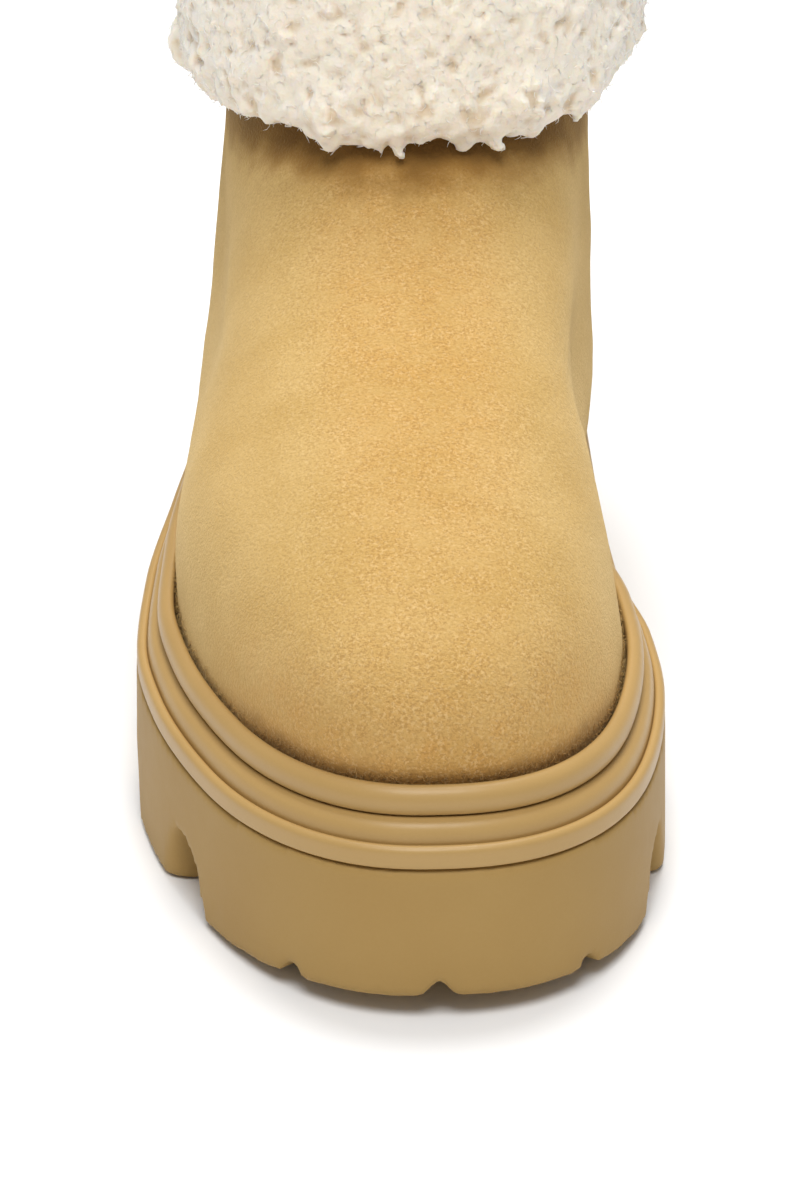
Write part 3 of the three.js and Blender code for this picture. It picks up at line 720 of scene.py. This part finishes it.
def hand_over(piece, material, slot, *nodes):
    piece.data.materials.clear()
    piece.data.materials.append(material)
    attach(piece, "root")
    if nodes:
        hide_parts(*nodes)


# Outsole

CORNER_STEPS = 4
CORNER_AT_TOP = 1 - math.sqrt(0.5)
OUTSOLE_GRAIN = 1.05
OUTSOLE_SMOOTHING = 4


def turn_of(notch):
    """Where a notch's rear wall meets the outline."""
    return math.acos(2 * notch["along"] - 1) * (1 if notch["side"] == "medial" else -1)


def notch_tool(notch):
    """The void between two lugs: straight front wall, rounded rear corner, curved roof."""
    turn = turn_of(notch)
    corner_x, corner_y, _ = outline_point(turn)
    normal = outline_normal(turn)
    outward = 1 if notch["side"] == "medial" else -1
    slope = normal.y / abs(normal.x)
    rings = []
    for level in range(-1, NOTCH_LEVELS + 1):
        up = max(level, 0) / NOTCH_LEVELS
        rear = curve(NOTCH_ROWS, "rear", up) * NOTCH_LENGTH
        front = curve(NOTCH_ROWS, "front", up) * NOTCH_LENGTH
        deep = curve(NOTCH_ROWS, "deep", up) * NOTCH_DEPTH
        radius = LUG_CORNER * mix(1, CORNER_AT_TOP, up)
        plan = [(front, -CUT_BEYOND), (front, deep), (rear, deep), (rear, radius)]
        for k in range(1, CORNER_STEPS + 1):
            angle = k / CORNER_STEPS * math.pi / 2
            plan.append((rear - radius * (1 - math.cos(angle)), radius * (1 - math.sin(angle))))
        plan.append((rear - radius, -CUT_BEYOND))
        height = up * NOTCH_HEIGHT if level >= 0 else -CUT_BEYOND
        rings.append([
            place(corner_x - outward * (inside - ahead * slope), corner_y - ahead, height)
            for ahead, inside in plan
        ])
    return loft("notch_tool", rings, "face")


def vault_tool(section, width, height, start, end):
    """A vault-shaped void from start to end, open below the floor."""
    along = (end - start).normalized()
    across = Vector((-along.y, along.x))
    half = width / 2
    rising = [(half, -CUT_BEYOND)] + [(row["side"] * half, row["up"] * height) for row in section]
    profile = rising + [(-side, up) for side, up in reversed(rising)]
    rings = [[place(*(middle + across * side), up) for side, up in profile] for middle in (start, end)]
    return loft("vault_tool", rings, "face")


def groove_tool(pair):
    """The shallow groove across the tread between two notches."""
    ends = []
    for notch in pair:
        x, y, _ = outline_point(turn_of(notch))
        ends.append(Vector((x, y - NOTCH_LENGTH / 2)))
    reach = (ends[1] - ends[0]).normalized() * NOTCH_DEPTH / 2
    return vault_tool(GROOVE_SECTION, GROOVE_WIDTH, GROOVE_HEIGHT, ends[0] + reach, ends[1] - reach)


def toe_vee_tool(turn):
    """A small vee cut in the tread's edge at the toe."""
    x, y, along = outline_point(turn)
    outward = outline_normal(turn)
    across = Vector((-outward.y, outward.x))
    lift = underside(along)
    profile = [(-TOE_VEE_WIDTH, -TOE_VEE_HEIGHT), (TOE_VEE_WIDTH, -TOE_VEE_HEIGHT), (0, TOE_VEE_HEIGHT)]
    edge = Vector((x, y))
    rings = []
    for middle in (edge - outward * TOE_VEE_LENGTH, edge + outward * CUT_BEYOND):
        rings.append([place(*(middle + across * side), lift + up) for side, up in profile])
    return loft("toe_vee_tool", rings, "face")


def make_outsole():
    rings = []
    for row in EDGE_ROWS:
        rings.append(sole_ring(lambda along: row["inset"], lambda along: underside(along) + row["up"]))
    for row in WALL_ROWS:
        rings.append(sole_ring(
            lambda along: row["inset"],
            lambda along: mix(underside(along) + WALL_START, sole_top(along) - BAND_HEIGHT, row["up"]),
        ))
    piece = loft("boot_outsole", rings)
    for notch in NOTCHES:
        cut(piece, notch_tool(notch))
    for pair in zip(NOTCHES[:2], NOTCHES[2:]):
        cut(piece, groove_tool(pair))
    for turn in (-TOE_VEE_TURN, 0, TOE_VEE_TURN):
        cut(piece, toe_vee_tool(turn))
    middle = SOLE_LENGTH * (0.5 - ARCH_MIDDLE)
    start, end = Vector((-BALL_WIDTH, middle)), Vector((BALL_WIDTH, middle))
    cut(piece, vault_tool(ARCH_SECTION, ARCH_LENGTH, ARCH_HEIGHT, start, end))
    melt(piece, OUTSOLE_GRAIN, OUTSOLE_SMOOTHING)
    shade(piece)
    hand_over(piece, WALL_RUBBER, "outsole_rubber", "outsole")


# Midsole and welt

# Edges sharper than this many degrees stay crisp; the welt reaches under the upper a little
EDGE_ANGLE = 50
FEATHER_OVERLAP = 1


def make_midsole():
    rings = []
    for row in BAND_ROWS:
        rings.append(sole_ring(lambda along: row["inset"], lambda along: sole_top(along) + row["up"]))
    for row in BEAD_ROWS:
        rings.append(sole_ring(
            lambda along: ledge_inset(row["inside"], along),
            lambda along: sole_top(along) + row["up"],
        ))
    piece = loft("boot_midsole", rings)
    shade(piece, EDGE_ANGLE)
    hand_over(piece, BAND_RUBBER, "midsole_foam", "midsole")


def make_welt():
    feather = BEAD_WIDTH + WELT_WIDTH - FEATHER_OVERLAP
    foot = BEAD_HEIGHT + CLEARANCE
    rings = []
    for row in WELT_ROWS:
        rings.append(sole_ring(
            lambda along: ledge_inset(feather - row["out"] * WELT_WIDTH, along),
            lambda along: sole_top(along) + foot + row["up"] * WELT_HEIGHT,
        ))
    piece = loft("boot_welt", rings, "loop")
    soften(piece, 1)
    shade(piece)
    hand_over(piece, BAND_RUBBER, "midsole_foam", "welt")
    return piece


# Upper and its lining

# Soft troughs (below 0) and ridges (above 0) in the suede: place, reach and depth
CREASES = [
    {"x": -34, "y": -6, "z": 86, "reach": (16, 26, 9), "depth": -0.9},
    {"x": 38, "y": -2, "z": 88, "reach": (16, 26, 9), "depth": -0.8},
    {"x": -36, "y": 22, "z": 104, "reach": (18, 22, 8), "depth": -0.7},
    {"x": 44, "y": 30, "z": 106, "reach": (18, 22, 8), "depth": -0.7},
    {"x": 2, "y": -18, "z": 100, "reach": (22, 12, 9), "depth": 0.5},
    {"x": 4, "y": -62, "z": 84, "reach": (26, 16, 12), "depth": -0.5},
    {"x": -28, "y": -92, "z": 60, "reach": (16, 16, 12), "depth": 0.5},
    {"x": 30, "y": -92, "z": 60, "reach": (16, 16, 12), "depth": 0.4},
]

# Slight waves of the hide: depth, waves a metre and offset
WAVES = [
    {"depth": 0.45, "rate": 38, "offset": (0, 0, 0)},
    {"depth": 0.22, "rate": 95, "offset": (3, 1, 7)},
]

LINING_GAP = 0.4
LINING_THICKNESS = 2.4
LINING_FLEECE = {"depth": 0.7, "rate": 240}
INSOLE_FLEECE = {"depth": 0.5, "rate": 260}

# A face of the inner skin looks across the shaft at another wall, or forwards at the heel
LOOK_FROM = 1.5
LOOK_REACH = 300
FLAT_FACE = 0.97
HEEL_FACING = 0.25


def dent(point):
    """How far the suede stands out or in at a point."""
    amount = 0
    for wave in WAVES:
        amount += wave["depth"] * noise.noise(point * wave["rate"] + Vector(wave["offset"]))
    for crease in CREASES:
        centre = place(crease["x"], crease["y"], crease["z"])
        away = [(point[k] - centre[k]) / (crease["reach"][k] * MM) for k in range(3)]
        amount += crease["depth"] * math.exp(-sum(a * a for a in away))
    return amount


def fleece(piece, depth, rate):
    displace(piece, lambda point: noise.noise(point * rate) * depth)


def make_upper():
    piece = copy_of("upper", "boot_upper")
    soften(piece, 2)
    displace(piece, dent)
    shade(piece)
    hand_over(piece, SUEDE, "suede", "upper")
    return piece


def make_lining():
    """The inner skin of the upper, turned into a fleece of its own."""
    piece = copy_of("upper", "boot_lining")
    mesh = bmesh.new()
    mesh.from_mesh(piece.data)
    tree = BVHTree.FromBMesh(mesh)
    low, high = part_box("cuff")
    outer = []
    for face in mesh.faces:
        middle = face.calc_center_median()
        start = middle + face.normal * LOOK_FROM * MM
        wall_ahead = tree.ray_cast(start, face.normal, LOOK_REACH * MM)[0] is not None
        heel_inside = middle.y > (low.y + high.y) / 2 and face.normal.y < -HEEL_FACING
        if abs(face.normal.z) > FLAT_FACE or not (wall_ahead or heel_inside):
            outer.append(face)
    bmesh.ops.delete(mesh, geom=outer, context="FACES")
    mesh.to_mesh(piece.data)
    mesh.free()
    displace(piece, lambda point: LINING_GAP)
    soften(piece, 3)
    apply(piece, "SOLIDIFY", thickness=LINING_THICKNESS * MM, offset=1)
    fleece(piece, **LINING_FLEECE)
    shade(piece)
    hand_over(piece, WOOL_DEEP, "wool")


def make_insole():
    piece = copy_of("insole", "boot_insole")
    soften(piece, 2)
    fleece(piece, **INSOLE_FLEECE)
    shade(piece)
    hand_over(piece, WOOL_DEEP, "wool", "insole")


# Shearling cuff

# The form under the wool, and the wool melted on it
FORM_GRAIN = 1.6
FORM_SMOOTHING = 10
FORM_SINK = 1.2
WOOL_GRAIN = 0.97
WOOL_SMOOTHING = 1

# Gaps to the suede where the wool begins and where it is free; its height where it is palest, with painted
# shade in the hollows below
PILE_START = 1.2
PILE_FULL = 4
PAINTED_SHADE_HEIGHT = 1.7

# The hem's bend begins and is full at these heights above it; turns are from the front
HEM_TOP = 26
HEM_FULL = 3
FRONT_HANG = 3.4
FRONT_SPREAD = 0.7
SIDE_LIFT = 7
SIDE_TURN = 1.1
SIDE_SPREAD = 0.45
HANG_OUT = 0.5

# Where the hem's curls look for the hem from, and how far below that point they hang
HEM_CURL_BELOW = 6
HEM_CURL_AWAY = 70
HEM_CURL_DROP = 0.9

# Share of a curl's rise that is under the surface, and the rounding of its two ends
CURL_SUNK = 0.3
TIP_ROUNDING = 2.6
TIP_SHARE = 0.04

# Curls: radius of the arc, half thickness and rise along the curl; the arc's sweep in radians
LUMPS = [
    {"arc": 1.3, "girth": 0.95, "sweep": 3.8, "rise": 1.8},
    {"arc": 1.7, "girth": 1, "sweep": 2.8, "rise": 1.4},
    {"arc": 1.1, "girth": 0.9, "sweep": 4.8, "rise": 2.2},
]
HEM_CURL = {"arc": 1.9, "girth": 1.4, "sweep": 4.6, "rise": 1.6}
HAIRS = [
    {"arc": 1.2, "girth": 0.11, "sweep": 3.4, "rise": 1.1},
    {"arc": 0.9, "girth": 0.12, "sweep": 4.4, "rise": 0.9},
    {"arc": 1.6, "girth": 0.1, "sweep": 2.4, "rise": 1.2},
]
FIBRES = [
    {"arc": 1.3, "girth": 0.08, "sweep": 1.2, "rise": 0.7},
    {"arc": 1, "girth": 0.09, "sweep": 1.8, "rise": 0.9},
]

# Big curls that hang over the front of the hem: turn from the front and spin in degrees
HEM_CURLS = [
    {"turn": -20, "up": 1.5, "spin": 200, "size": 0.9},
    {"turn": -9, "up": 0.5, "spin": 60, "size": 0.8},
    {"turn": 0, "up": 1.5, "spin": 150, "size": 1},
    {"turn": 7, "up": 0.6, "spin": 15, "size": 1.2},
    {"turn": 15, "up": 0.4, "spin": 170, "size": 1.1},
    {"turn": 24, "up": 1.2, "spin": 260, "size": 1},
    {"turn": 37, "up": 1.5, "spin": 40, "size": 0.85},
]


def hang(turn):
    """How much lower the hem hangs at a turn from the front: below 0 on the inner side."""
    front = FRONT_HANG * math.exp(-(turn / FRONT_SPREAD) ** 2)
    side = SIDE_LIFT * math.exp(-((turn - SIDE_TURN) / SIDE_SPREAD) ** 2)
    return front - side


def droop(piece, low, middle):
    """Lets the hem hang lower in front, a little forwards too, and draws it up beside."""
    for vertex in piece.data.vertices:
        x, y, z = vertex.co
        lower = hang(math.atan2(x - middle.x, middle.y - y))
        near_hem = smooth(low.z + HEM_TOP * MM, low.z + HEM_FULL * MM, z)
        vertex.co.z -= lower * near_hem * MM
        vertex.co.y -= HANG_OUT * max(lower, 0) * near_hem * MM
    piece.data.update()


def curl_shape(name, row, sides, steps):
    """One curl of wool: a stub with round ends, bent into an arc that lifts along Z."""
    arc, sweep, rise = row["arc"], row["sweep"], row["rise"]
    rings = []
    for step in range(steps + 1):
        u = step / steps
        angle = (u - 0.5) * sweep
        cosine, sine = math.cos(angle), math.sin(angle)
        centre = Vector((arc * cosine - arc / 2, arc * sine, rise * (u - CURL_SUNK)))
        forward = Vector((-arc * sine * sweep, arc * cosine * sweep, rise)).normalized()
        side = forward.cross(Vector((0, 0, 1))).normalized()
        above = side.cross(forward)
        width = row["girth"] * math.sqrt(max(1 - abs(2 * u - 1) ** TIP_ROUNDING, TIP_SHARE))
        ring = []
        for k in range(sides):
            turn = k / sides * TURN
            ring.append((centre + (side * math.cos(turn) + above * math.sin(turn)) * width) * MM)
        rings.append(ring)
    curl = loft(name, rings, "face")
    shade(curl)
    # Curls are marked at full height, so they get none of the painted shade
    mark(curl, "height", lambda point: 1)
    return curl


def curls(name, rows, sides, steps):
    return [curl_shape(f"{name}_{k}", row, sides, steps) for k, row in enumerate(rows)]


def hem_curl(row, low, middle, form):
    """One big curl, laid against the hem and turned outwards."""
    turn = math.radians(row["turn"])
    way = Vector((math.sin(turn), -math.cos(turn), 0))
    below = Vector((middle.x, middle.y, low.z + (row["up"] - HEM_CURL_BELOW) * MM))
    spot = form.find_nearest(below + way * HEM_CURL_AWAY * MM)[0]
    curl = curl_shape("hem_curl", HEM_CURL, sides=8, steps=10)
    curl.location = spot - Vector((0, 0, HEM_CURL_DROP * MM))
    curl.scale = [row["size"]] * 3
    spin = Euler((0, 0, math.radians(row["spin"]))).to_quaternion()
    curl.rotation_euler = (way.to_track_quat("Z", "Y") @ spin).to_euler()
    return curl


def scatter_tree(name, where, store, gap, seed, tilt, sizes):
    """Nodes that put one of the store's shapes on each of many points, at least a gap apart."""
    tree = bpy.data.node_groups.new(name, "GeometryNodeTree")
    tree.interface.new_socket("Geometry", in_out="INPUT", socket_type="NodeSocketGeometry")
    tree.interface.new_socket("Geometry", in_out="OUTPUT", socket_type="NodeSocketGeometry")

    def add(kind, settings, inputs):
        made = tree.nodes.new(kind)
        for key, value in settings.items():
            setattr(made, key, value)
        for key, value in inputs.items():
            if isinstance(value, bpy.types.NodeSocket):
                tree.links.new(value, made.inputs[key])
            else:
                made.inputs[key].default_value = value
        return made

    start = add("NodeGroupInput", {}, {})
    named = add("GeometryNodeInputNamedAttribute", {"data_type": "FLOAT"}, {"Name": where})
    more_than_fit = 4 / (gap * MM) ** 2
    points = add("GeometryNodeDistributePointsOnFaces", {"distribute_method": "POISSON"}, {
        "Mesh": start.outputs[0], "Distance Min": gap * MM, "Density Max": more_than_fit,
        "Density Factor": named.outputs[0], "Seed": seed,
    })
    spin = add("FunctionNodeRandomValue", {"data_type": "FLOAT_VECTOR"}, {
        "Min": (-tilt, -tilt, 0), "Max": (tilt, tilt, TURN), "Seed": seed + 1,
    })
    turned = add("FunctionNodeRotateRotation", {"rotation_space": "LOCAL"}, {
        0: points.outputs["Rotation"], 1: spin.outputs[0],
    })
    size = add("FunctionNodeRandomValue", {"data_type": "FLOAT"}, {
        2: sizes[0], 3: sizes[1], "Seed": seed + 2,
    })
    chosen = add("GeometryNodeCollectionInfo", {}, {
        "Collection": store, "Separate Children": True, "Reset Children": True,
    })
    spread = add("GeometryNodeInstanceOnPoints", {}, {
        "Points": points.outputs[0], "Instance": chosen.outputs[0], "Pick Instance": True,
        "Rotation": turned.outputs[0], "Scale": size.outputs[1],
    })
    real = add("GeometryNodeRealizeInstances", {}, {"Geometry": spread.outputs[0]})
    add("NodeGroupOutput", {}, {0: real.outputs[0]})
    return tree


def strewn(name, ground, where, shapes, **spread):
    """Copies of small shapes, spread over a surface by one of its attributes."""
    store = bpy.data.collections.new(name + "_shapes")
    scene.collection.children.link(store)
    for shape in shapes:
        scene.collection.objects.unlink(shape)
        store.objects.link(shape)
    piece = bpy.data.objects.new(name, ground.data.copy())
    scene.collection.objects.link(piece)
    apply(piece, "NODES", node_group=scatter_tree(name, where, store, **spread))
    for shape in shapes:
        bpy.data.objects.remove(shape, do_unlink=True)
    bpy.data.collections.remove(store)
    shade(piece)
    return piece


def make_cuff(upper):
    """Lumps of curled wool are spread over the cuff's form and melted together with it."""
    low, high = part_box("cuff")
    middle = (low + high) / 2
    suede = skin_of(upper)

    def pile(point):
        """0 where the wool lies against the suede, 1 where it is free."""
        return smooth(PILE_START * MM, PILE_FULL * MM, suede.find_nearest(point)[3])

    piece = copy_of("cuff", "boot_cuff")
    melt(piece, FORM_GRAIN, FORM_SMOOTHING)
    displace(piece, lambda point: -FORM_SINK * pile(point))
    droop(piece, low, middle)
    form = skin_of(piece)
    mark(piece, "pile", pile)
    lumps = curls("lump", LUMPS, sides=6, steps=8)
    masses = [strewn("lumps", piece, "pile", lumps, gap=2, seed=3, tilt=0.9, sizes=(0.75, 1.25))]
    for row in HEM_CURLS:
        masses.append(hem_curl(row, low, middle, form))
    pick(piece)
    for mass in masses:
        mass.select_set(True)
    bpy.ops.object.join()
    melt(piece, WOOL_GRAIN, WOOL_SMOOTHING)
    mark(piece, "pile", pile)
    # Height above the form, for the wool's painted shade: darker in the hollows, palest where the curls
    # stand out
    mark(piece, "height", lambda point: smooth(0, PAINTED_SHADE_HEIGHT * MM, form.find_nearest(point)[3]))
    shade(piece)
    hand_over(piece, WOOL, "wool", "cuff")
    return piece


def make_hairs(cuff):
    hairs = curls("hair", HAIRS, sides=3, steps=4)
    piece = strewn("boot_cuff_hairs", cuff, "pile", hairs, gap=2.2, seed=15, tilt=0.6, sizes=(0.7, 1.2))
    hand_over(piece, WOOL, "wool", "cuff")


# The fringe starts this far from the welt and is full a little nearer
FRINGE_START = 2.6
FRINGE_FULL = 1.8


def make_fringe(upper, welt):
    """Short suede fibres that stand over the welt, all round the foot of the upper."""
    edge = skin_of(welt)
    mark(upper, "edge", lambda point: smooth(
        FRINGE_START * MM, FRINGE_FULL * MM, edge.find_nearest(point)[3]
    ))
    fibres = curls("fibre", FIBRES, sides=3, steps=2)
    piece = strewn("boot_upper_fringe", upper, "edge", fibres, gap=0.7, seed=5, tilt=0.8, sizes=(0.7, 1.2))
    hand_over(piece, SUEDE, "suede", "upper")


# Floor, light and camera

FLOOR_SIZE = 8
FLOOR_WHITE = (0.9, 0.9, 0.9, 1)
SKY_WHITE = (1, 1, 1, 1)
SKY_STRENGTH = 0.31

# Soft round lamps: place, aim and size in metres, power in watts
LAMPS = [
    {"name": "key", "place": (-0.08, -0.7, 1.4), "aim": (0, -0.03, 0.05), "size": 0.8, "power": 15},
    {"name": "top", "place": (0.05, 0.45, 1.45), "aim": (0, 0, 0.05), "size": 0.8, "power": 18},
]


def make_stage():
    deselect_all()
    bpy.ops.mesh.primitive_plane_add(size=FLOOR_SIZE, location=(0, 0, 0))
    floor = bpy.context.object
    floor.name = "floor"
    finish = Finish("floor_white", {"Roughness": 0.9, "Base Color": FLOOR_WHITE})
    floor.data.materials.append(finish.material)


def turn_to(thing, start, aim):
    """Turns a lamp or the camera from its place towards a point."""
    thing.rotation_euler = (Vector(aim) - Vector(start)).to_track_quat("-Z", "Y").to_euler()


def make_light():
    world = bpy.data.worlds.new("studio")
    world.use_nodes = True
    sky = world.node_tree.nodes["Background"]
    sky.inputs["Color"].default_value = SKY_WHITE
    sky.inputs["Strength"].default_value = SKY_STRENGTH
    scene.world = world
    for row in LAMPS:
        deselect_all()
        bpy.ops.object.light_add(type="AREA", location=row["place"])
        lamp = bpy.context.object
        lamp.name = row["name"]
        lamp.data.shape = "DISK"
        lamp.data.size = row["size"]
        lamp.data.energy = row["power"]
        turn_to(lamp, row["place"], row["aim"])
    scene.view_settings.view_transform = "Standard"


# The photograph's view: where the camera stands and looks, from the outline's middle at the floor
CAMERA_PLACE = (-43.55, -866.87, 437.64)
CAMERA_AIM = (-1, -55, 51.6)
CAMERA_LENS = 126.36
SENSOR = 36


def make_camera():
    deselect_all()
    start, aim = place(*CAMERA_PLACE), place(*CAMERA_AIM)
    bpy.ops.object.camera_add(location=start)
    camera = bpy.context.object
    turn_to(camera, start, aim)
    camera.data.sensor_width = SENSOR
    camera.data.lens = CAMERA_LENS
    camera.data.dof.use_dof = False
    scene.camera = camera


make_camera()
make_outsole()
make_midsole()
welt = make_welt()
upper = make_upper()
make_lining()
make_insole()
cuff = make_cuff(upper)
make_hairs(cuff)
make_fringe(upper, welt)
make_stage()
make_light()
